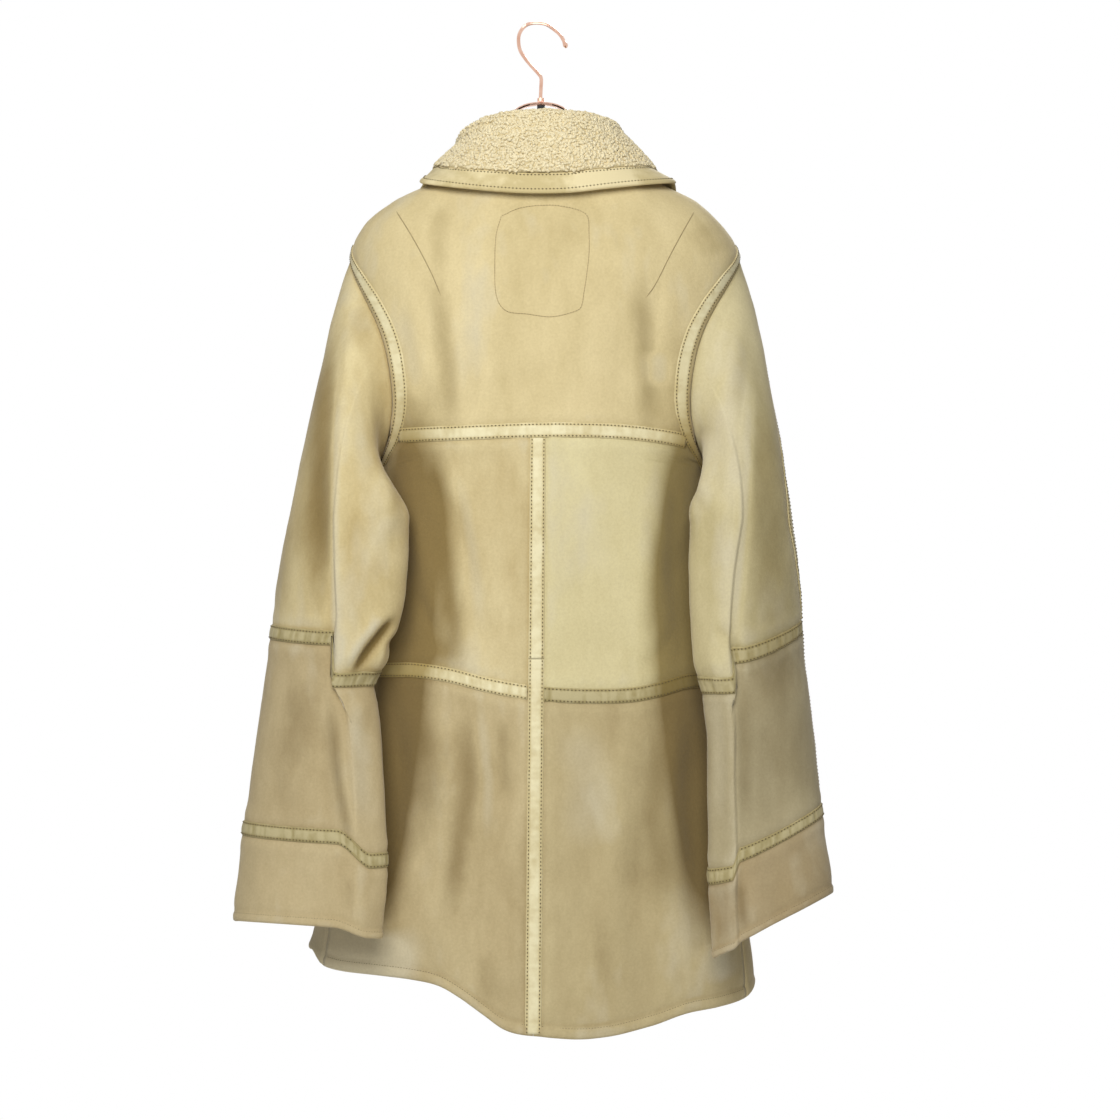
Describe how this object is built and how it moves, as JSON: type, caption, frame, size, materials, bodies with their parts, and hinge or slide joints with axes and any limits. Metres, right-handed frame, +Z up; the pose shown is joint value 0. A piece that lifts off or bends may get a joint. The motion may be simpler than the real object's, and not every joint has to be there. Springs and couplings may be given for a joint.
{
  "type": "shearling coat on a hanger",
  "caption": "Hip-length sand suede shearling coat hung on a copper wire hanger, with raised seam strips, a folded curly wool collar and wide sleeves",
  "frame": {"origin": "inner top of the hook's bend, where the hanger rests on a rail", "axes": "+Z up, +X toward the wearer's right side, +Y toward the coat's front; the pictured back faces -Y"},
  "size_m": [0.5843, 0.2684, 0.9992],
  "materials": {
    "suede": "napped suede, matte",
    "suede_strip": "smooth suede, matte",
    "shearling_wool": "curly wool pile",
    "copper_metal": "polished, copper coloured",
    "black_metal": "semi-gloss black",
    "button": "satin horn colour"
  },
  "bodies": {
    "root": {"back_yoke": "suede", "back_panel_left": "suede", "back_skirt_left": "suede", "back_panel_right": "suede", "back_skirt_right": "suede", "front_left": "suede", "front_right": "suede", "yoke_strip": "suede_strip", "waist_strip_left": "suede_strip", "waist_strip_right": "suede_strip", "centre_strip_upper": "suede_strip", "centre_strip_lower": "suede_strip", "armhole_strip_left": "suede_strip", "armhole_strip_right": "suede_strip", "sleeve_left_upper_back": "suede", "sleeve_left_upper_front": "suede", "sleeve_left_forearm": "suede", "sleeve_left_cuff": "suede", "elbow_strip_left": "suede_strip", "cuff_strip_left": "suede_strip", "sleeve_right_upper_back": "suede", "sleeve_right_upper_front": "suede", "sleeve_right_forearm": "suede", "sleeve_right_cuff": "suede", "elbow_strip_right": "suede_strip", "cuff_strip_right": "suede_strip", "outer_strip_left_upper": "suede_strip", "outer_strip_left_lower": "suede_strip", "outer_strip_right_upper": "suede_strip", "outer_strip_right_lower": "suede_strip", "collar": "shearling_wool", "collar_binding": "suede_strip", "hanger_hook": "copper_metal", "hanger_ferrule": "copper_metal", "hanger_bar": "copper_metal", "hanger_nut": "black_metal", "button_1": "button", "button_2": "button", "button_3": "button", "button_4": "button", "button_5": "button"}
  },
  "joints": []
}
